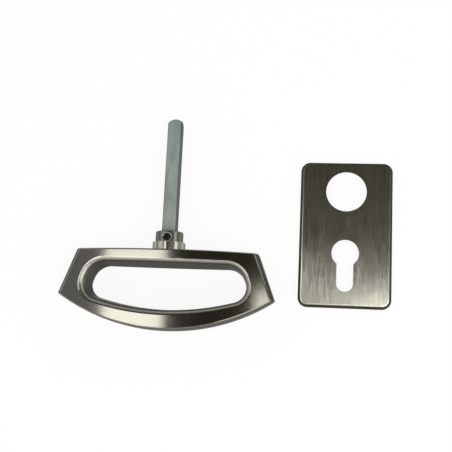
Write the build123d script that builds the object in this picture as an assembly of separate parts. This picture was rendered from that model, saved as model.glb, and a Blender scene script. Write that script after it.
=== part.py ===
from build123d import *
import math
import os

# Garage door handle with its cover plate, laid side by side on a flat surface.
# Millimetres, Z up. The spindle and the long side of the plate point along +Y.

# Cast grip
grip_depth = 51.2
grip_thickness = 26.0
crown_radius = 650.0
seat_width = 116.8
seat_bow_radius = 1780.0
end_slant = 20.5
end_round = 6.9
end_round_drop = 1.1
bottom_radius = 124.5
bottom_bulge_radius = 90.0
edge_radius = 1.0
trim_allowance = 1.2

# Finger opening in the grip
door_bar = 8.7
grip_bar = 12.6
end_bar = 13.1
opening_bottom_radius = 165.0
opening_draft = 3.5
opening_top_corner = 13.0
opening_low_corner = 10.0
opening_edge_radius = 3.4

# Hub on the door side of the grip
flange_diameter = 21.2
flange_height = 5.4
flange_rim_radius = 0.5
collar_diameter = 17.8
hub_height = 12.4
hub_rim_radius = 0.9
hub_root = 3.0

# Square spindle and its socket
spindle_size = 9.0
spindle_reach = 88.1
spindle_edge_radius = 0.5
spindle_dome_radius = 6.5
socket_depth = 17.0
socket_clearance = 0.2

# Grub screw that clamps the spindle
screw_diameter = 5.0
thread_clearance = 0.1
screw_along_hub = 8.3
screw_recess = 0.5
screw_chamfer = 0.4
hex_across_flats = 2.5
hex_sides = 6
hex_depth = 2.2

# Cover plate
plate_width = 59.0
plate_length = 94.5
plate_height = 5.0
sheet = 1.0
plate_corner_radius = 6.0
plate_edge_radius = 2.2
handle_hole_diameter = 26.0
handle_hole_offset = 28.0
hole_spacing = 40.2
cylinder_diameter = 17.4
cylinder_height = 33.4
cylinder_slot = 10.6

# Place of the plate beside the handle
plate_aside = 112.9
plate_along = 15.5

# Values that follow from the sizes above
right_angle = 90.0
half_thickness = grip_thickness / 2
blank_half = half_thickness + trim_allowance
slope = math.tan(math.radians(end_slant))
across_slant = math.cos(math.radians(end_slant))
along_slant = math.sin(math.radians(end_slant))
end_plane = Plane(
    origin=(seat_width / 2, 0, 0),
    x_dir=(across_slant, along_slant, 0),
    z_dir=(along_slant, -across_slant, 0),
)
end_height = grip_thickness - 2 * end_round_drop
bottom_centre = bottom_radius - grip_depth
opening_bottom_centre = opening_bottom_radius + grip_bar - grip_depth
hub_plane = Plane(origin=(0, hub_height, 0), x_dir=(1, 0, 0), z_dir=(0, 1, 0))
socket_size = spindle_size + socket_clearance
socket_floor = hub_height - socket_depth
spindle_drop = -socket_clearance / 2
spindle_plane = Plane(origin=(0, socket_floor, spindle_drop), x_dir=(1, 0, 0), z_dir=(0, 1, 0))
spindle_top = spindle_drop + spindle_size / 2
screw_end = collar_diameter / 2 - screw_recess
cylinder_centre = handle_hole_offset - hole_spacing
cylinder_low_end = cylinder_centre + (cylinder_diameter + cylinder_slot) / 2 - cylinder_height


# Area between the slanted ends, moved inward by inset, from top down to the depth of the grip
def slanted_area(inset, top):
    height = grip_depth - top
    width = seat_width - 2 * inset / across_slant + 2 * grip_depth * slope
    with Locations((0, -top)):
        Trapezoid(width, height, right_angle - end_slant, align=(Align.CENTER, Align.MAX))


# The two crowned faces of the grip, front and back
def crowned_faces(part):
    by_height = part.faces().sort_by(Axis.Z)
    return [by_height[0], by_height[-1]]


# Grip: a closed loop, cast in one piece with its hub
with BuildPart() as grip:
    # Bowed seat against the door, between slanted ends
    with BuildSketch():
        slanted_area(-trim_allowance, 0)
        with Locations((0, -seat_bow_radius)):
            Circle(seat_bow_radius, mode=Mode.INTERSECT)
    extrude(amount=blank_half, both=True)

    # Palm side, slightly barrelled about the centre of the bottom arc
    with BuildSketch(Plane.XZ.offset(-bottom_centre)):
        with Locations((bottom_radius - bottom_bulge_radius, 0)):
            Circle(bottom_bulge_radius)
        Rectangle(bottom_radius, 2 * blank_half, align=(Align.MIN, Align.CENTER), mode=Mode.INTERSECT)
    revolve(axis=Axis((0, bottom_centre, 0), (0, 0, 1)), mode=Mode.INTERSECT)

    # Flat ends with rounded edges
    with BuildPart(mode=Mode.PRIVATE) as end_cutter:
        with BuildSketch(end_plane):
            with Locations((-end_round, 0)):
                Rectangle(seat_width, seat_width, align=(Align.MIN, Align.CENTER))
            with Locations((-seat_width / 2, 0)):
                RectangleRounded(seat_width, end_height, end_round, mode=Mode.SUBTRACT)
        extrude(amount=seat_width, both=True)
        mirror(about=Plane.YZ)
    add(end_cutter.part, mode=Mode.SUBTRACT)

    # Crowned faces, so that the grip is thickest behind the hub
    with BuildSketch(Plane.XZ.offset(-trim_allowance)):
        with Locations((0, half_thickness - crown_radius)):
            Circle(crown_radius)
        with Locations((0, crown_radius - half_thickness)):
            Circle(crown_radius, mode=Mode.INTERSECT)
    extrude(amount=grip_depth + 2 * trim_allowance, mode=Mode.INTERSECT)

    # One small radius along the outside edges and down the four corners
    corners = grip.edges().filter_by(lambda e: e.bounding_box().size.Z > end_round / 2)
    outside = [e for face in crowned_faces(grip) for e in face.outer_wire().edges()]
    fillet(list(corners) + outside, edge_radius)

    # Finger opening, drafted from the front face to the back
    with BuildSketch(Plane.XY.offset(half_thickness)) as opening:
        slanted_area(end_bar, door_bar)
        with Locations((0, opening_bottom_centre)):
            Circle(opening_bottom_radius, mode=Mode.INTERSECT)
        fillet(opening.vertices().group_by(Axis.Y)[-1], opening_top_corner)
        fillet(opening.vertices().group_by(Axis.Y)[0], opening_low_corner)
    extrude(amount=-grip_thickness, taper=opening_draft, mode=Mode.SUBTRACT)

    # Rolled edges round the opening
    rolled = [e for face in crowned_faces(grip) for wire in face.inner_wires() for e in wire.edges()]
    fillet(rolled, opening_edge_radius)

    # Stepped hub about the spindle axis
    with BuildSketch() as hub_profile:
        with Locations((0, -hub_root)):
            Rectangle(flange_diameter / 2, hub_root + flange_height, align=Align.MIN)
            Rectangle(collar_diameter / 2, hub_root + hub_height, align=Align.MIN)
        hub_rim = hub_profile.vertices().group_by(Axis.Y)[-1].sort_by(Axis.X)[-1]
        fillet(hub_rim, hub_rim_radius)
        flange_rim = hub_profile.vertices().group_by(Axis.X)[-1].sort_by(Axis.Y)[-1]
        fillet(flange_rim, flange_rim_radius)
    revolve(axis=Axis.Y)

    # Square socket for the spindle, and the threaded hole that meets it
    with BuildSketch(hub_plane):
        Rectangle(socket_size, socket_size)
    extrude(amount=-socket_depth, mode=Mode.SUBTRACT)
    with BuildSketch():
        with Locations((0, screw_along_hub)):
            Circle(screw_diameter / 2)
    extrude(amount=flange_diameter, mode=Mode.SUBTRACT)

# Spindle: square bar with broken edges and a domed end, resting on the lower wall of its socket
with BuildPart() as spindle:
    with BuildSketch(spindle_plane):
        RectangleRounded(spindle_size, spindle_size, spindle_edge_radius)
    extrude(amount=spindle_reach - socket_floor)
    with BuildSketch():
        with Locations((0, spindle_reach - spindle_dome_radius)):
            Circle(spindle_dome_radius)
            Rectangle(2 * spindle_dome_radius, 2 * spindle_reach, align=(Align.CENTER, Align.MAX))
        with Locations((0, socket_floor)):
            Rectangle(spindle_dome_radius, spindle_reach - socket_floor, align=Align.MIN, mode=Mode.INTERSECT)
    revolve(axis=Axis.Y, mode=Mode.INTERSECT)

# Grub screw with a hex socket, its point on the spindle
with BuildPart() as grub_screw:
    with BuildSketch(Plane.XY.offset(spindle_top)):
        with Locations((0, screw_along_hub)):
            Circle((screw_diameter - thread_clearance) / 2)
    extrude(amount=screw_end - spindle_top)
    chamfer(grub_screw.edges().filter_by(GeomType.CIRCLE), screw_chamfer)
    with BuildSketch(Plane.XY.offset(screw_end)):
        with Locations((0, screw_along_hub)):
            RegularPolygon(hex_across_flats / 2, hex_sides, major_radius=False)
    extrude(amount=-hex_depth, mode=Mode.SUBTRACT)

# Cover plate: pressed from sheet of one thickness, with a turned-down rim
with BuildPart() as cover_plate:
    with BuildSketch():
        RectangleRounded(plate_width, plate_length, plate_corner_radius)
    extrude(amount=plate_height)
    fillet(cover_plate.faces().sort_by(Axis.Z)[-1].edges(), plate_edge_radius)
    offset(amount=-sheet, openings=cover_plate.faces().sort_by(Axis.Z)[0])

    # Round hole for the handle, and the cut-out for a profile lock cylinder
    with BuildSketch():
        with Locations((0, handle_hole_offset)):
            Circle(handle_hole_diameter / 2)
        with Locations((0, cylinder_centre)):
            Circle(cylinder_diameter / 2)
            Rectangle(cylinder_slot, cylinder_centre - cylinder_low_end, align=(Align.CENTER, Align.MAX))
        with Locations((0, cylinder_low_end)):
            Circle(cylinder_slot / 2)
    extrude(amount=plate_height, mode=Mode.SUBTRACT)

# Lay the pieces out, with the origin under the middle of the set
handle_place = Pos(0, 0, half_thickness)
plate_place = Pos(plate_aside, plate_along, 0)
pieces = {
    "grip": handle_place * grip.part,
    "spindle": handle_place * spindle.part,
    "grub_screw": handle_place * grub_screw.part,
    "cover_plate": plate_place * cover_plate.part,
}
middle = Compound(list(pieces.values())).bounding_box().center()
to_origin = Pos(-middle.X, -middle.Y, 0)

os.makedirs("parts", exist_ok=True)
for name, piece in pieces.items():
    export_step(to_origin * piece, f"parts/{name}.step")
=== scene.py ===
import math

import bpy
from bpy.props import FloatProperty, FloatVectorProperty, PointerProperty
from bpy.types import Operator, Panel, PropertyGroup
from mathutils import Matrix, Vector


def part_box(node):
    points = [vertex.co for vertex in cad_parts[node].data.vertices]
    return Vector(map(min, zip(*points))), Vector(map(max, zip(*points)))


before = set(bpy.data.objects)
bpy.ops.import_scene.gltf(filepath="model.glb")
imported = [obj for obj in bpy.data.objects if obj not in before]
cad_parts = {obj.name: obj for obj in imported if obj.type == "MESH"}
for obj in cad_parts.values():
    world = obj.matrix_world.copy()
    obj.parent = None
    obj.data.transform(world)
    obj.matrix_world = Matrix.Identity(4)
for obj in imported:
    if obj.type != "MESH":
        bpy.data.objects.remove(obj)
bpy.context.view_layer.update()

bl_info = {
    "name": "Garage Door Handle",
    "version": (1, 0, 0),
    "blender": (4, 5, 0),
    "location": "View3D > Sidebar > Handle",
    "description": "Finishes a garage door handle and its cover plate for a picture",
    "category": "Object",
}

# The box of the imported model, kept from before any piece is added
grip_low, grip_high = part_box("grip")
spindle_low, spindle_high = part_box("spindle")
_, plate_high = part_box("cover_plate")
screw_low, screw_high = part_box("grub_screw")
spindle_middle = (spindle_low + spindle_high) / 2
screw_middle = (screw_low + screw_high) / 2


class GripFinish(PropertyGroup):
    """Sizes and colours of the cast grip's finish, and of its painted shade and highlights."""

    face_colour: FloatVectorProperty(
        name="Face", description="Colour of the brushed faces",
        subtype="COLOR", size=3, min=0, max=1, default=(0.25, 0.245, 0.222))
    # Lighter copy of the face metal: a painted highlight on the rolled edge round the opening and
    # on the ring round the screw's hole
    roll_highlight_colour: FloatVectorProperty(
        name="Roll", description="Colour of the rolled edge round the opening",
        subtype="COLOR", size=3, min=0, max=1, default=(0.33, 0.324, 0.294))
    # Darker copy of the metal: painted shade on the walls and ends
    wall_shade_colour: FloatVectorProperty(
        name="Wall", description="Colour of the duller walls and ends",
        subtype="COLOR", size=3, min=0, max=1, default=(0.20, 0.197, 0.18))
    # Darker still: painted shade on the walls of the opening
    inner_shade_colour: FloatVectorProperty(
        name="Inner wall", description="Colour of the darker walls of the opening",
        subtype="COLOR", size=3, min=0, max=1, default=(0.12, 0.118, 0.108))
    # Lighter copy of the metal: a painted highlight on the flange of the hub
    flange_highlight_colour: FloatVectorProperty(
        name="Flange", description="Colour of the polished flange of the hub",
        subtype="COLOR", size=3, min=0, max=1, default=(0.42, 0.413, 0.376))
    # Darker copy of the metal: painted shade on the turned hub
    hub_shade_colour: FloatVectorProperty(
        name="Hub", description="Colour of the turned hub",
        subtype="COLOR", size=3, min=0, max=1, default=(0.19, 0.187, 0.17))
    hole_radius: FloatProperty(
        name="Hole radius", description="Radius of the screw's hole in the hub",
        unit="LENGTH", min=0.0001, default=0.0025)
    hole_chamfer: FloatProperty(
        name="Hole chamfer", description="Width of the broken edge round the screw's hole",
        unit="LENGTH", min=0.0001, default=0.0006)
    flange_height: FloatProperty(
        name="Flange height", description="Height of the flange over the seat",
        unit="LENGTH", min=0.0001, default=0.0054)
    crown_radius: FloatProperty(
        name="Crown", description="Radius of the crowned faces",
        unit="LENGTH", min=0.1, default=0.65)
    seat: FloatProperty(
        name="Seat", description="Where the grip ends and its hub begins, along the spindle",
        unit="LENGTH", default=-0.01845)
    seat_width: FloatProperty(
        name="Seat width", description="Width of the grip at its seat",
        unit="LENGTH", min=0.01, default=0.1168)
    end_slant: FloatProperty(
        name="End slant", description="Angle of the ends to the spindle",
        unit="ROTATION", default=math.radians(20.5))
    palm_radius: FloatProperty(
        name="Palm radius", description="Radius of the side that lies in the palm",
        unit="LENGTH", min=0.05, default=0.1245)
    palm_bulge: FloatProperty(
        name="Palm bulge",
        description="How far the palm side stands out beyond the edges of the faces",
        unit="LENGTH", min=0, default=0.00094)
    bevel_width: FloatProperty(
        name="Bevel width", description="Width over which the faces turn down to the ends",
        unit="LENGTH", min=0.0001, default=0.0028)
    bevel_drop: FloatProperty(
        name="Bevel drop", description="How far the faces seem to turn down to the ends",
        unit="LENGTH", min=0, default=0.0021)
    polish: FloatProperty(
        name="Polish", description="Roughness of the brushed faces",
        subtype="FACTOR", min=0, max=1, default=0.10)
    line_width: FloatProperty(
        name="Line width", description="Width of a brush line",
        unit="LENGTH", min=0.00001, default=0.00005)
    line_length: FloatProperty(
        name="Line length", description="Length of a brush line",
        unit="LENGTH", min=0.0001, default=0.018)
    line_depth: FloatProperty(
        name="Line depth", description="Depth of a brush line",
        unit="LENGTH", min=0, default=0.0000008)
    hub_seam: FloatVectorProperty(
        name="Hub seam", description="Distances past the seat over which the hub's finish begins",
        unit="LENGTH", size=2, default=(-0.0001, 0.0003))
    collar_seam: FloatVectorProperty(
        name="Collar seam",
        description="Distances past the flange over which the collar's finish begins",
        unit="LENGTH", size=2, default=(-0.0003, 0.0001))
    roll_depths: FloatVectorProperty(
        name="Roll depths", description="Depths below the faces over which the rolled edge begins",
        unit="LENGTH", size=2, default=(0.00003, 0.0001))
    wall_depths: FloatVectorProperty(
        name="Wall depths", description="Depths below the faces over which the walls begin",
        unit="LENGTH", size=2, default=(0.0012, 0.0032))
    edge_band: FloatVectorProperty(
        name="Edge band", description="Distances from the outline over which its edge ends",
        unit="LENGTH", size=2, default=(0.0009, 0.0014))
    end_band: FloatProperty(
        name="End band", description="How much wider the edge is along the ends",
        unit="LENGTH", min=0, default=0.0008)
    inner_reach: FloatVectorProperty(
        name="Inner reach",
        description="Distances from the outline over which the opening's walls begin",
        unit="LENGTH", size=2, default=(0.006, 0.008))
    cloud_size: FloatProperty(
        name="Cloud size", description="Size of a duller or brighter cloud",
        unit="LENGTH", min=0.0001, default=0.006)
    cloud_dullness: FloatProperty(
        name="Cloud dullness", description="How far the roughness differs between clouds",
        subtype="FACTOR", min=0, max=1, default=0.04)
    pit_size: FloatProperty(
        name="Pit size", description="Size of a pit in the walls",
        unit="LENGTH", min=0.00001, default=0.0009)
    pit_share: FloatProperty(
        name="Pit share", description="How far the pits break up the colour of the walls",
        subtype="FACTOR", min=0, max=1, default=0.2)
    ring_share: FloatProperty(
        name="Ring share", description="Depth of the turned rings as a share of the line depth",
        subtype="FACTOR", min=0, max=1, default=0.6)
    roll_dullness: FloatProperty(
        name="Roll dullness",
        description="How much rougher the rolled edge and the walls are than the faces",
        subtype="FACTOR", min=0, max=1, default=0.21)
    hub_dullness: FloatProperty(
        name="Hub dullness", description="How much rougher each step of the hub is than the last",
        subtype="FACTOR", min=0, max=1, default=0.05)
    edge_tint: FloatProperty(
        name="Edge tint", description="Brightness of the metal at a glancing angle",
        subtype="FACTOR", min=0, max=1, default=0.3)


class SpindleFinish(PropertyGroup):
    """Sizes and colours of the zinc-plated spindle."""

    zinc_colour: FloatVectorProperty(
        name="Zinc", description="Colour of the zinc",
        subtype="COLOR", size=3, min=0, max=1, default=(0.33, 0.38, 0.36))
    dull_colour: FloatVectorProperty(
        name="Dull zinc", description="Colour of the zinc where it is dullest",
        subtype="COLOR", size=3, min=0, max=1, default=(0.18, 0.213, 0.202))
    # Darker copy of the zinc: painted shade on the sides of the spindle
    side_shade_colour: FloatVectorProperty(
        name="Sides", description="Colour of the darker sides",
        subtype="COLOR", size=3, min=0, max=1, default=(0.04, 0.047, 0.045))
    grain: FloatProperty(
        name="Grain", description="Size of a grain in the zinc",
        unit="LENGTH", min=0.00001, default=0.0006)
    grain_depth: FloatProperty(
        name="Grain depth", description="Depth of the grain",
        unit="LENGTH", min=0, default=0.000012)
    grain_share: FloatProperty(
        name="Grain share", description="Share of the grain in the colour, the rest being patches",
        subtype="FACTOR", min=0, max=1, default=0.7)
    patch_size: FloatVectorProperty(
        name="Patch size", description="Size of a brighter or duller patch",
        subtype="XYZ", unit="LENGTH", size=3, default=(0.006, 0.02, 0.006))
    patch_limits: FloatVectorProperty(
        name="Patch limits", description="Noise at which the zinc is dullest and brightest",
        size=2, default=(0.40, 0.60))
    side_band: FloatVectorProperty(
        name="Side band", description="Distances in from the sides over which their colour begins",
        unit="LENGTH", size=2, default=(0.0005, 0.0001))
    side_grain: FloatProperty(
        name="Side grain", description="How far the grain breaks up the colour of the sides",
        subtype="FACTOR", min=0, max=1, default=0.3)
    dull_roughness: FloatProperty(
        name="Dull roughness", description="Roughness of the zinc where it is dullest",
        subtype="FACTOR", min=0, max=1, default=0.62)
    polish: FloatProperty(
        name="Polish", description="How much smoother the zinc is where it is brightest",
        subtype="FACTOR", min=0, max=1, default=0.14)
    metal_share: FloatProperty(
        name="Metal share", description="How far the dull zinc still looks like metal",
        subtype="FACTOR", min=0, max=1, default=0.35)
    edge_tint: FloatProperty(
        name="Edge tint", description="Brightness of the zinc at a glancing angle",
        subtype="FACTOR", min=0, max=1, default=0.4)


class ScrewFinish(PropertyGroup):
    """Sizes and colours of the blackened grub screw."""

    black_colour: FloatVectorProperty(
        name="Black", description="Colour of the blackened steel",
        subtype="COLOR", size=3, min=0, max=1, default=(0.02, 0.0195, 0.018))
    rubbed_colour: FloatVectorProperty(
        name="Rubbed", description="Colour of the steel where the black is rubbed off",
        subtype="COLOR", size=3, min=0, max=1, default=(0.22, 0.21, 0.19))
    rub_size: FloatProperty(
        name="Rub size", description="Size of a rubbed spot",
        unit="LENGTH", min=0.00001, default=0.0007)
    rub_depth: FloatProperty(
        name="Rub depth", description="Depth of a rubbed spot",
        unit="LENGTH", min=0, default=0.00001)
    rub_limits: FloatVectorProperty(
        name="Rub limits", description="Noise at which the black begins to be and is rubbed off",
        size=2, default=(0.58, 0.74))
    roughness: FloatProperty(
        name="Roughness", description="Roughness of the black",
        subtype="FACTOR", min=0, max=1, default=0.42)
    polish: FloatProperty(
        name="Polish", description="How much smoother the rubbed steel is",
        subtype="FACTOR", min=0, max=1, default=0.12)
    metal_share: FloatProperty(
        name="Metal share", description="How far the black still looks like metal",
        subtype="FACTOR", min=0, max=1, default=0.8)
    edge_tint: FloatProperty(
        name="Edge tint", description="Brightness of the steel at a glancing angle",
        subtype="FACTOR", min=0, max=1, default=1.0)


class PlateFinish(PropertyGroup):
    """Sizes and colours of the cover plate's finish, and of the painted shade on its edge and rim.
    """

    face_colour: FloatVectorProperty(
        name="Face", description="Colour of the brushed sheet",
        subtype="COLOR", size=3, min=0, max=1, default=(0.67, 0.668, 0.60))
    line_colour: FloatVectorProperty(
        name="Line", description="Colour of the darker brush lines",
        subtype="COLOR", size=3, min=0, max=1, default=(0.48, 0.479, 0.43))
    # Darker copies of the sheet: painted shade on the rounded edge and the turned-down rim
    edge_shade_colour: FloatVectorProperty(
        name="Edge", description="Colour of the darker rounded edge",
        subtype="COLOR", size=3, min=0, max=1, default=(0.06, 0.059, 0.053))
    rim_shade_colour: FloatVectorProperty(
        name="Rim", description="Colour of the duller turned-down rim",
        subtype="COLOR", size=3, min=0, max=1, default=(0.30, 0.296, 0.265))
    polish: FloatProperty(
        name="Polish", description="Roughness of the sheet between the lines",
        subtype="FACTOR", min=0, max=1, default=0.15)
    line_width: FloatProperty(
        name="Line width", description="Width of a brush line",
        unit="LENGTH", min=0.00001, default=0.00002)
    line_length: FloatProperty(
        name="Line length", description="Length of a brush line",
        unit="LENGTH", min=0.0001, default=0.05)
    line_depth: FloatProperty(
        name="Line depth", description="Depth of a brush line",
        unit="LENGTH", min=0, default=0.000022)
    streak_width: FloatProperty(
        name="Streak width", description="Width of a streak of brush lines",
        unit="LENGTH", min=0.00001, default=0.0005)
    streak_length: FloatProperty(
        name="Streak length", description="Length of a streak of brush lines",
        unit="LENGTH", min=0.0001, default=0.009)
    streak_share: FloatProperty(
        name="Streak share", description="Share of the streaks in the colour, the rest being lines",
        subtype="FACTOR", min=0, max=1, default=0.5)
    streak_limits: FloatVectorProperty(
        name="Streak limits", description="Noise at which the sheet is darkest and brightest",
        size=2, default=(0.40, 0.60))
    streak_dullness: FloatProperty(
        name="Streak dullness", description="How far the roughness differs between streaks",
        subtype="FACTOR", min=0, max=1, default=0.06)
    edge_depths: FloatVectorProperty(
        name="Edge depths", description="Depths below the face over which the rounded edge begins",
        unit="LENGTH", size=2, default=(0.00001, 0.00014))
    rim_depths: FloatVectorProperty(
        name="Rim depths", description="Depths below the face over which the rim begins",
        unit="LENGTH", size=2, default=(0.0012, 0.0022))
    edge_dullness: FloatProperty(
        name="Edge dullness", description="How much rougher the edge and the rim are than the face",
        subtype="FACTOR", min=0, max=1, default=0.2)
    edge_tint: FloatProperty(
        name="Edge tint", description="Brightness of the sheet at a glancing angle",
        subtype="FACTOR", min=0, max=1, default=0.25)


class StageSettings(PropertyGroup):
    """Floor, light and camera of the picture."""

    floor_size: FloatProperty(
        name="Floor", description="Side of the square floor",
        unit="LENGTH", min=0.5, default=30.0)
    floor_colour: FloatVectorProperty(
        name="Floor colour", description="Colour of the floor",
        subtype="COLOR", size=3, min=0, max=1, default=(0.95, 0.95, 0.95))
    speck_colour: FloatVectorProperty(
        name="Speck colour", description="Colour of the faint specks in the floor",
        subtype="COLOR", size=3, min=0, max=1, default=(0.93575, 0.93575, 0.93575))
    speck_size: FloatProperty(
        name="Speck size", description="Size of a speck in the floor",
        unit="LENGTH", min=0.001, default=0.05)
    floor_lift: FloatProperty(
        name="Floor lift", description="White added to the floor as it is seen",
        subtype="FACTOR", min=0, max=1, default=0.9)
    room_colour: FloatVectorProperty(
        name="Room", description="Light from the walls of the room",
        subtype="COLOR", size=3, min=0, max=4, default=(1.0, 0.99, 0.96))
    right_colour: FloatVectorProperty(
        name="Right wall", description="Light from the brighter wall on the right",
        subtype="COLOR", size=3, min=0, max=4, default=(1.9, 1.88, 1.82))
    right_reach: FloatVectorProperty(
        name="Right reach", description="How far to the right, of 1, the room turns brighter",
        size=2, default=(0.3, 0.6))
    horizon_colour: FloatVectorProperty(
        name="Horizon", description="Light from low down in the room",
        subtype="COLOR", size=3, min=0, max=2, default=(0.35, 0.35, 0.34))
    horizon_reach: FloatVectorProperty(
        name="Horizon reach", description="How far up, of 1, the horizon gives way to the walls",
        size=2, default=(0.15, 0.5))
    ceiling_colour: FloatVectorProperty(
        name="Ceiling", description="Light from the dark ceiling",
        subtype="COLOR", size=3, min=0, max=1, default=(0.056, 0.05, 0.037))
    ceiling_middle: FloatVectorProperty(
        name="Ceiling middle", description="Direction of the middle of the dark ceiling",
        subtype="DIRECTION", size=3, default=(0.15, 0.25, 1.0))
    ceiling_length: FloatProperty(
        name="Ceiling length",
        description="How much longer the dark ceiling is along the spindle than across it",
        min=0.1, default=1.25)
    ceiling_edge: FloatProperty(
        name="Ceiling edge", description="Angle from the middle at which the dark ceiling ends",
        unit="ROTATION", default=math.radians(30))
    dim_colour: FloatVectorProperty(
        name="Dim wall", description="Light from the dim upper part of the walls",
        subtype="COLOR", size=3, min=0, max=1, default=(0.32, 0.317, 0.305))
    dim_edge: FloatProperty(
        name="Dim edge", description="Angle from the middle at which the bright walls begin",
        unit="ROTATION", default=math.radians(42))
    softness: FloatProperty(
        name="Softness", description="Angle over which one light fades into the next",
        unit="ROTATION", default=math.radians(4))
    left_place: FloatVectorProperty(
        name="Left softbox", description="Middle of the softbox on the left",
        subtype="XYZ", unit="LENGTH", size=3, default=(-0.504, -0.345, 1.5))
    left_size: FloatVectorProperty(
        name="Left size", description="Width and length of the softbox on the left",
        unit="LENGTH", size=2, default=(0.357, 1.11))
    left_power: FloatProperty(
        name="Left power", description="Power of the softbox on the left",
        unit="POWER", default=4.5)
    right_place: FloatVectorProperty(
        name="Right softbox", description="Middle of the softbox on the right",
        subtype="XYZ", unit="LENGTH", size=3, default=(0.68, -0.402, 1.5))
    right_size: FloatVectorProperty(
        name="Right size", description="Width and length of the softbox on the right",
        unit="LENGTH", size=2, default=(1.04, 0.975))
    right_power: FloatProperty(
        name="Right power", description="Power of the softbox on the right",
        unit="POWER", default=10.5)
    softbox_colour: FloatVectorProperty(
        name="Softbox colour", description="Colour of both softboxes",
        subtype="COLOR", size=3, min=0, max=1, default=(1.0, 0.985, 0.93))
    eye: FloatVectorProperty(
        name="Eye", description="Where the camera stands",
        subtype="XYZ", unit="LENGTH", size=3, default=(0.06292, -0.0863, 0.51692))
    aim: FloatVectorProperty(
        name="Aim", description="The point that the camera looks at",
        subtype="XYZ", unit="LENGTH", size=3, default=(-0.001685, 0.00127, 0.0))
    roll: FloatProperty(
        name="Roll", description="How far the picture's upright is turned from the spindle",
        unit="ROTATION", default=math.radians(2.65))
    lens: FloatProperty(
        name="Lens", description="Focal length of the camera in millimetres",
        min=10, default=63.72)
    nearest: FloatProperty(
        name="Nearest", description="Distance from which the camera sees",
        unit="LENGTH", min=0.001, default=0.01)


class Value:
    """A number that changes over a surface, held as the socket that gives it."""

    def __init__(self, tree, socket):
        self.tree = tree
        self.socket = socket

    def math(self, operation, *terms):
        node = self.tree.node("ShaderNodeMath", {"operation": operation}, dict(enumerate(terms)))
        return Value(self.tree, node.outputs[0])

    def __add__(self, other):
        return self.math("ADD", self, other)

    def __radd__(self, other):
        return self.math("ADD", other, self)

    def __sub__(self, other):
        return self.math("SUBTRACT", self, other)

    def __rsub__(self, other):
        return self.math("SUBTRACT", other, self)

    def __mul__(self, other):
        return self.math("MULTIPLY", self, other)

    def __rmul__(self, other):
        return self.math("MULTIPLY", other, self)

    def __truediv__(self, other):
        return self.math("DIVIDE", self, other)

    def __abs__(self):
        return self.math("ABSOLUTE", self)

    def root(self):
        return self.math("SQRT", self)

    def over(self, other):
        return self.math("MAXIMUM", self, other)

    def under(self, other):
        return self.math("MINIMUM", self, other)


class Tree:
    """The node tree of a material or a world, and the few ways in which nodes are added to it."""

    def __init__(self, owner):
        owner.use_nodes = True
        self.tree = owner.node_tree
        self.tree.nodes.clear()

    def node(self, kind, settings=None, inputs=None):
        """Adds one node, sets its settings, then fills or links its sockets."""
        node = self.tree.nodes.new(kind)
        for name, setting in (settings or {}).items():
            setattr(node, name, setting)
        for name, given in (inputs or {}).items():
            self.fill(node.inputs[name], given)
        return node

    def fill(self, socket, given):
        """Links a socket to the one that is given, or sets its own value."""
        if isinstance(given, Value):
            given = given.socket
        if isinstance(given, bpy.types.NodeSocket):
            self.tree.links.new(given, socket)
        else:
            socket.default_value = given

    def place(self):
        """Object coordinates as a vector socket."""
        return self.node("ShaderNodeTexCoord").outputs["Object"]

    def axes(self, vector):
        """The three parts of a vector."""
        parts = self.node("ShaderNodeSeparateXYZ", inputs={"Vector": vector})
        return [Value(self, part) for part in parts.outputs]

    def stretched(self, vector, size):
        """A vector counted in steps of the given size along each axis."""
        scale = [1 / step for step in size]
        return self.node("ShaderNodeMapping", inputs={"Vector": vector, "Scale": scale}).outputs[0]

    def noise(self, vector, detail, roughness):
        """Noise from 0 to 1 about a half, with a grain of one step."""
        inputs = {"Vector": vector, "Scale": 1.0, "Detail": detail, "Roughness": roughness}
        return Value(self, self.node("ShaderNodeTexNoise", inputs=inputs).outputs["Fac"])

    def step(self, value, low, high):
        """Rises smoothly from 0 at low to 1 at high."""
        settings = {"interpolation_type": "SMOOTHSTEP"}
        inputs = {"Value": value, "From Min": low, "From Max": high}
        return Value(self, self.node("ShaderNodeMapRange", settings, inputs).outputs["Result"])

    def blend(self, share, first, second):
        """The first colour where share is 0 and the second where it is 1."""
        node = self.node("ShaderNodeMix", {"data_type": "RGBA"})
        sockets = {socket.identifier: socket for socket in node.inputs}
        self.fill(sockets["Factor_Float"], share)
        for name, colour in (("A_Color", first), ("B_Color", second)):
            linked = isinstance(colour, bpy.types.NodeSocket)
            self.fill(sockets[name], colour if linked else (*colour, 1.0))
        return next(socket for socket in node.outputs if socket.identifier == "Result_Color")

    def bump(self, height, depth):
        """A normal that follows a height from 0 to 1, times depth."""
        inputs = {"Height": height, "Distance": depth, "Strength": 1.0}
        return self.node("ShaderNodeBump", inputs=inputs).outputs["Normal"]

    def metal(self, colour, roughness, metallic, normal, edge_tint):
        """A metal surface, joined to the material's output."""
        inputs = {
            "Base Color": colour,
            "Roughness": roughness,
            "Metallic": metallic,
            "Normal": normal,
            "Specular Tint": (edge_tint, edge_tint, edge_tint, 1.0),
        }
        surface = self.node("ShaderNodeBsdfPrincipled", inputs=inputs).outputs[0]
        self.node("ShaderNodeOutputMaterial", inputs={"Surface": surface})


def distance(first, second):
    """Length of the diagonal over two lengths at right angles."""
    return (first * first + second * second).root()


def dress(piece, material):
    """Gives a piece one material, in place of any that it has."""
    piece.data.materials.clear()
    piece.data.materials.append(material)


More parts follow.
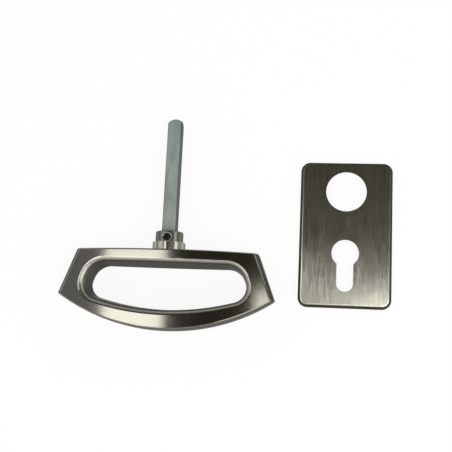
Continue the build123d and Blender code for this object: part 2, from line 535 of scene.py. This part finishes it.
def satin_casting(sizes):
    """Satin metal: brushed faces along the spindle, duller walls darkened with painted shade, and a
    turned hub in painted shade; painted highlights lighten the rolled edge, the ring round the
    screw's hole and the flange.
    """
    material = bpy.data.materials.new("satin_casting")
    tree = Tree(material)
    place = tree.place()
    x, y, z = tree.axes(place)

    # How far a point lies below the faces, in from the outline and from the screw's hole
    half = (grip_high.z - grip_low.z) / 2
    aside = x - spindle_middle.x
    past_seat = y - sizes.seat
    below_face = half - aside * aside / (2 * sizes.crown_radius) - abs(z - (grip_low.z + half))
    off_palm_centre = y - (grip_low.y + sizes.palm_radius)
    to_palm = sizes.palm_radius - sizes.palm_bulge - distance(aside, off_palm_centre)
    end_line = sizes.seat_width / 2 - past_seat * math.tan(sizes.end_slant)
    to_end = (end_line - abs(aside)) * math.cos(sizes.end_slant)
    to_outline = to_palm.under(to_end - sizes.end_band).under(sizes.seat - y)
    from_hole = distance(aside, y - screw_middle.y) - sizes.hole_radius

    # The share of each finish at that point, with the painted shade of the walls and hub and the
    # painted highlights of the rolled edge and flange
    on_hub = tree.step(past_seat, *sizes.hub_seam)
    on_collar = tree.step(past_seat - sizes.flange_height, *sizes.collar_seam)
    past_chamfer = tree.step(from_hole, 0.0, sizes.hole_chamfer)
    past_bevel = tree.step(to_end, -sizes.bevel_width / 2, sizes.bevel_width)
    on_roll = tree.step(below_face, *sizes.roll_depths)
    off_edge = tree.step(to_outline, *sizes.edge_band)
    on_wall = tree.step(below_face, *sizes.wall_depths).over(1 - off_edge)
    on_inner = tree.step(to_outline, *sizes.inner_reach)

    along = (sizes.line_width, sizes.line_length, sizes.line_width)
    around = (sizes.line_length, sizes.line_width, sizes.line_length)
    lines = tree.noise(tree.stretched(place, along), detail=2.0, roughness=0.5)
    rings = tree.noise(tree.stretched(place, around), detail=2.0, roughness=0.5)
    clouds = tree.noise(tree.stretched(place, (sizes.cloud_size,) * 3), detail=3.0, roughness=0.6)
    pits = tree.noise(tree.stretched(place, (sizes.pit_size,) * 3), detail=4.0, roughness=0.65)

    # The rolled edge is lighter than the faces: a painted highlight
    bright = tree.blend(on_roll, sizes.face_colour, sizes.roll_highlight_colour)
    # The walls and ends are darker, and the walls of the opening darker still: painted shade
    wall = tree.blend(on_inner, sizes.wall_shade_colour, sizes.inner_shade_colour)
    # The pits break up the painted shade of the walls
    pitted_wall_shade = on_wall * (1 - sizes.pit_share + pits * sizes.pit_share)
    # The faces, with the painted highlight of the rolled edge and the painted shade of the walls
    brushed = tree.blend(pitted_wall_shade, bright, wall)
    # The ring round the screw's hole takes the rolled edge's lighter colour, a painted highlight,
    # and the rest of the hub a darker colour, painted shade
    collar = tree.blend(past_chamfer, sizes.roll_highlight_colour, sizes.hub_shade_colour)
    # The flange is lighter than the faces: a painted highlight
    turned = tree.blend(on_collar, sizes.flange_highlight_colour, collar)
    colour = tree.blend(on_hub, brushed, turned)

    clouding = (clouds - 0.5) * sizes.cloud_dullness
    rolled = on_roll * (1 - on_hub) * sizes.roll_dullness
    roughness = sizes.polish + clouding + rolled + (on_hub + on_collar) * sizes.hub_dullness

    brushing = lines * (1 - on_hub) * (1 - on_wall)
    turning = (rings * sizes.ring_share + pits) * on_hub.over(on_wall)
    bevel = past_bevel * (1 - on_hub) * sizes.bevel_drop
    chamfer = past_chamfer * on_hub * sizes.hole_chamfer / 2
    relief = (brushing + turning) * sizes.line_depth + bevel + chamfer
    tree.metal(colour, roughness, 1.0, tree.bump(relief, 1.0), sizes.edge_tint)
    return material


def dull_zinc(sizes):
    """Zinc plating: a fine cool grain, with brighter and duller patches, and sides darkened with
    painted shade.
    """
    material = bpy.data.materials.new("dull_zinc")
    tree = Tree(material)
    place = tree.place()
    x, _, _ = tree.axes(place)
    half = (spindle_high.x - spindle_low.x) / 2
    on_side = tree.step(abs(x - spindle_middle.x), *[half - band for band in sizes.side_band])
    grain = tree.noise(tree.stretched(place, (sizes.grain,) * 3), detail=3.0, roughness=0.7)
    patches = tree.noise(tree.stretched(place, sizes.patch_size), detail=3.0, roughness=0.6)
    mottle = grain * sizes.grain_share + patches * (1 - sizes.grain_share)
    share = tree.step(mottle, *sizes.patch_limits)
    fronts = tree.blend(share, sizes.dull_colour, sizes.zinc_colour)
    # The sides' darker colour, broken by the grain, is painted shade
    sides = on_side * (1 - sizes.side_grain + grain * sizes.side_grain)
    colour = tree.blend(sides, fronts, sizes.side_shade_colour)
    roughness = sizes.dull_roughness - share * sizes.polish
    normal = tree.bump(grain, sizes.grain_depth)
    tree.metal(colour, roughness, sizes.metal_share, normal, sizes.edge_tint)
    return material


def black_steel(sizes):
    """Blackened steel, rubbed bright in places."""
    material = bpy.data.materials.new("black_steel")
    tree = Tree(material)
    spots = tree.stretched(tree.place(), (sizes.rub_size,) * 3)
    rubbing = tree.noise(spots, detail=4.0, roughness=0.7)
    rubbed = tree.step(rubbing, *sizes.rub_limits)
    colour = tree.blend(rubbed, sizes.black_colour, sizes.rubbed_colour)
    roughness = sizes.roughness - rubbed * sizes.polish
    normal = tree.bump(rubbing, sizes.rub_depth)
    tree.metal(colour, roughness, sizes.metal_share, normal, sizes.edge_tint)
    return material


def brushed_sheet(sizes):
    """Brushed steel sheet, with its lines along the plate, and its rounded edge and rim darkened
    with painted shade.
    """
    material = bpy.data.materials.new("brushed_sheet")
    tree = Tree(material)
    place = tree.place()
    _, _, z = tree.axes(place)
    below_face = plate_high.z - z
    on_edge = tree.step(below_face, *sizes.edge_depths)
    on_rim = tree.step(below_face, *sizes.rim_depths)
    along = (sizes.line_width, sizes.line_length, sizes.line_width)
    lines = tree.noise(tree.stretched(place, along), detail=1.0, roughness=0.5)
    wider = (sizes.streak_width, sizes.streak_length, sizes.streak_length)
    streaks = tree.noise(tree.stretched(place, wider), detail=2.0, roughness=0.6)
    brushing = lines * (1 - sizes.streak_share) + streaks * sizes.streak_share
    share = tree.step(brushing, *sizes.streak_limits)
    brushed = tree.blend(share, sizes.line_colour, sizes.face_colour)
    # The rounded edge and the rim are darker than the sheet: painted shade
    turned = tree.blend(on_rim, sizes.edge_shade_colour, sizes.rim_shade_colour)
    colour = tree.blend(on_edge, brushed, turned)
    streaking = (streaks - 0.5) * sizes.streak_dullness
    roughness = sizes.polish + streaking + on_edge * sizes.edge_dullness
    normal = tree.bump(lines, sizes.line_depth)
    tree.metal(colour, roughness, 1.0, normal, sizes.edge_tint)
    return material


def start_modelling():
    """Object mode with nothing selected, so that an operator acts on the new piece alone."""
    if bpy.context.object and bpy.context.object.mode != "OBJECT":
        bpy.ops.object.mode_set(mode="OBJECT")
    bpy.ops.object.select_all(action="DESELECT")


class HANDLE_OT_grip(Operator):
    """Finishes the cast grip with its brushed faces, dull walls and turned hub, with painted shade
    on the walls and hub and painted highlights on the rolled edge and flange.
    """

    bl_idname = "garage_handle.grip"
    bl_label = "Grip"

    def execute(self, context):
        dress(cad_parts["grip"], satin_casting(context.scene.grip_finish))
        return {"FINISHED"}


class HANDLE_OT_spindle(Operator):
    """Finishes the square spindle in dull zinc."""

    bl_idname = "garage_handle.spindle"
    bl_label = "Spindle"

    def execute(self, context):
        dress(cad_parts["spindle"], dull_zinc(context.scene.spindle_finish))
        return {"FINISHED"}


class HANDLE_OT_screw(Operator):
    """Finishes the grub screw."""

    bl_idname = "garage_handle.screw"
    bl_label = "Grub Screw"

    def execute(self, context):
        dress(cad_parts["grub_screw"], black_steel(context.scene.screw_finish))
        return {"FINISHED"}


class HANDLE_OT_plate(Operator):
    """Finishes the cover plate in brushed steel."""

    bl_idname = "garage_handle.plate"
    bl_label = "Cover Plate"

    def execute(self, context):
        dress(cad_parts["cover_plate"], brushed_sheet(context.scene.plate_finish))
        return {"FINISHED"}


class HANDLE_OT_stage(Operator):
    """Lays the floor, lights the set and puts the camera in its place."""

    bl_idname = "garage_handle.stage"
    bl_label = "Stage"

    def execute(self, context):
        settings = context.scene.handle_stage
        self.floor(settings)
        self.room(context.scene, settings)
        for side in ("left", "right"):
            self.softbox(settings, side)
        self.camera(context.scene, settings)
        context.scene.view_settings.view_transform = "Standard"
        return {"FINISHED"}

    def floor(self, settings):
        start_modelling()
        bpy.ops.mesh.primitive_plane_add(size=settings.floor_size)
        floor = bpy.context.object
        floor.name = "floor"
        material = bpy.data.materials.new("pale_floor")
        tree = Tree(material)
        grains = tree.stretched(tree.place(), (settings.speck_size,) * 3)
        specks = tree.noise(grains, detail=2.0, roughness=0.5)
        colour = tree.blend(specks, settings.floor_colour, settings.speck_colour)
        path = tree.node("ShaderNodeLightPath").outputs
        seen = Value(tree, path["Is Camera Ray"]).over(Value(tree, path["Is Glossy Ray"]))
        seen = seen.over(Value(tree, path["Is Transmission Ray"]))
        paper = tree.node("ShaderNodeBsdfDiffuse", inputs={"Color": colour}).outputs[0]
        glow = {"Color": (1, 1, 1, 1), "Strength": 1.0}
        white = tree.node("ShaderNodeEmission", inputs=glow).outputs[0]
        mixed = {0: seen * settings.floor_lift, 1: paper, 2: white}
        surface = tree.node("ShaderNodeMixShader", inputs=mixed).outputs[0]
        tree.node("ShaderNodeOutputMaterial", inputs={"Surface": surface})
        dress(floor, material)

    def room(self, scene, settings):
        world = bpy.data.worlds.new("room")
        scene.world = world
        tree = Tree(world)
        towards = tree.node("ShaderNodeTexCoord").outputs["Generated"]
        shorten = (1, 1 / settings.ceiling_length, 1)
        middle = (Vector(settings.ceiling_middle) * Vector(shorten)).normalized()
        short = self.vector(tree, "MULTIPLY", towards, shorten).outputs["Vector"]
        ray = self.vector(tree, "NORMALIZE", short).outputs["Vector"]
        upward = Value(tree, self.vector(tree, "DOT_PRODUCT", ray, middle).outputs["Value"])
        dark = self.within(tree, upward, settings.ceiling_edge, settings.softness)
        dim = self.within(tree, upward, settings.dim_edge, settings.softness)
        across, _, height = tree.axes(towards)
        on_right = tree.step(across, *settings.right_reach)
        sides = tree.blend(on_right, settings.room_colour, settings.right_colour)
        over_horizon = tree.step(height, *settings.horizon_reach)
        walls = tree.blend(over_horizon, settings.horizon_colour, sides)
        upper = tree.blend(dark, settings.dim_colour, settings.ceiling_colour)
        colour = tree.blend(dim, walls, upper)
        shine = {"Color": colour, "Strength": 1.0}
        light = tree.node("ShaderNodeBackground", inputs=shine).outputs[0]
        tree.node("ShaderNodeOutputWorld", inputs={"Surface": light})

    def vector(self, tree, operation, *terms):
        return tree.node("ShaderNodeVectorMath", {"operation": operation}, dict(enumerate(terms)))

    def within(self, tree, upward, edge, softness):
        return tree.step(upward, math.cos(edge + softness / 2), math.cos(edge - softness / 2))

    def softbox(self, settings, side):
        start_modelling()
        bpy.ops.object.light_add(type="AREA", location=getattr(settings, f"{side}_place"))
        lamp = bpy.context.object
        lamp.name = f"{side}_softbox"
        lamp.data.shape = "RECTANGLE"
        lamp.data.size, lamp.data.size_y = getattr(settings, f"{side}_size")
        lamp.data.energy = getattr(settings, f"{side}_power")
        lamp.data.color = settings.softbox_colour

    def camera(self, scene, settings):
        back = (Vector(settings.eye) - Vector(settings.aim)).normalized()
        upright = Matrix.Rotation(settings.roll, 3, "Z") @ Vector((0, 1, 0))
        right = upright.cross(back).normalized()
        up = back.cross(right)
        turn = Matrix((right, up, back)).transposed().to_euler()
        start_modelling()
        bpy.ops.object.camera_add(location=settings.eye, rotation=turn)
        camera = bpy.context.object
        camera.name = "camera"
        camera.data.lens = settings.lens
        camera.data.clip_start = settings.nearest
        scene.camera = camera


class HANDLE_PT_panel(Panel):
    """Lists the steps and their sizes and colours."""

    bl_idname = "HANDLE_PT_panel"
    bl_label = "Garage Door Handle"
    bl_space_type = "VIEW_3D"
    bl_region_type = "UI"
    bl_category = "Handle"

    def draw(self, context):
        for step, group in steps:
            box = self.layout.box()
            box.operator(step.bl_idname)
            settings = getattr(context.scene, group)
            for name in settings.__annotations__:
                box.prop(settings, name)


steps = (
    (HANDLE_OT_grip, "grip_finish"),
    (HANDLE_OT_spindle, "spindle_finish"),
    (HANDLE_OT_screw, "screw_finish"),
    (HANDLE_OT_plate, "plate_finish"),
    (HANDLE_OT_stage, "handle_stage"),
)
groups = {
    "grip_finish": GripFinish,
    "spindle_finish": SpindleFinish,
    "screw_finish": ScrewFinish,
    "plate_finish": PlateFinish,
    "handle_stage": StageSettings,
}


def register():
    for name, group in groups.items():
        bpy.utils.register_class(group)
        setattr(bpy.types.Scene, name, PointerProperty(type=group))
    for step, _ in steps:
        bpy.utils.register_class(step)
    bpy.utils.register_class(HANDLE_PT_panel)


def unregister():
    bpy.utils.unregister_class(HANDLE_PT_panel)
    for step, _ in reversed(steps):
        bpy.utils.unregister_class(step)
    for name, group in reversed(groups.items()):
        delattr(bpy.types.Scene, name)
        bpy.utils.unregister_class(group)


def main():
    register()
    bpy.ops.garage_handle.grip()
    bpy.ops.garage_handle.spindle()
    bpy.ops.garage_handle.screw()
    bpy.ops.garage_handle.plate()
    bpy.ops.garage_handle.stage()


if __name__ == "__main__":
    main()
